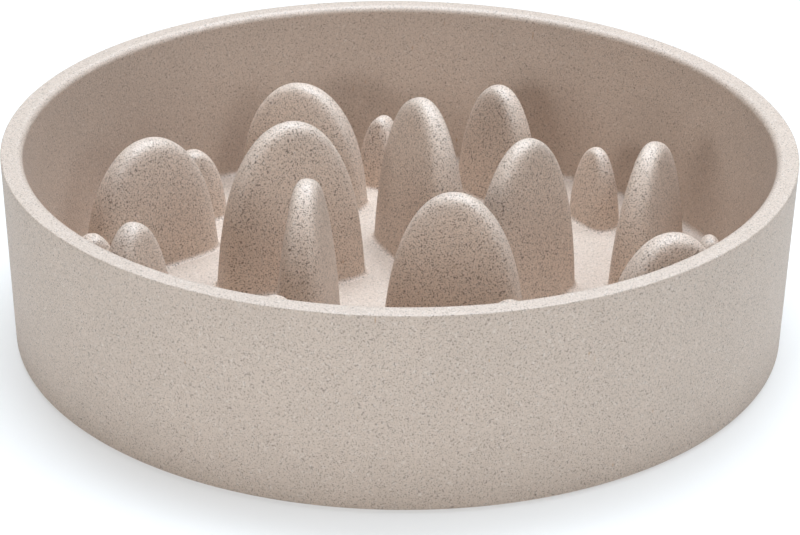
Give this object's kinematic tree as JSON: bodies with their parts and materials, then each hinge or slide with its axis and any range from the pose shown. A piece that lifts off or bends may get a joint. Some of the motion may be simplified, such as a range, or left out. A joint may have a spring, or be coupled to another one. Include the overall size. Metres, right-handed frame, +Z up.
{
  "type": "slow feeder bowl",
  "caption": "Round straight-walled pet bowl with a flat floor and scattered rounded peaks that make a pet eat slowly, on an anti-slip ring.",
  "frame": {"origin": "centre of the anti-slip ring's underside, on the table", "axes": "+Z up along the bowl's axis, -Y towards the side seen in front in the picture, +X to the right in the picture"},
  "size_m": [0.22, 0.22, 0.0556],
  "materials": {
    "fibre_plastic": "matte, speckled with plant fibre",
    "silicone": "matte"
  },
  "bodies": {
    "root": {"bowl_shell": "fibre_plastic", "anti_slip_ring": "silicone", "peak_left_broad": "fibre_plastic", "peak_left_back_small": "fibre_plastic", "peak_left_small": "fibre_plastic", "peak_left_front": "fibre_plastic", "peak_back_left_broad": "fibre_plastic", "peak_centre_left_broad": "fibre_plastic", "peak_front_left_slim": "fibre_plastic", "peak_front_left_low": "fibre_plastic", "peak_back_small": "fibre_plastic", "peak_centre_tall": "fibre_plastic", "peak_back_right": "fibre_plastic", "peak_front_centre_broad": "fibre_plastic", "peak_centre_right_tall": "fibre_plastic", "peak_front_right_low": "fibre_plastic", "peak_right_back_small": "fibre_plastic", "peak_right_tall": "fibre_plastic", "peak_right_front_broad": "fibre_plastic", "peak_right_small": "fibre_plastic"}
  },
  "joints": []
}
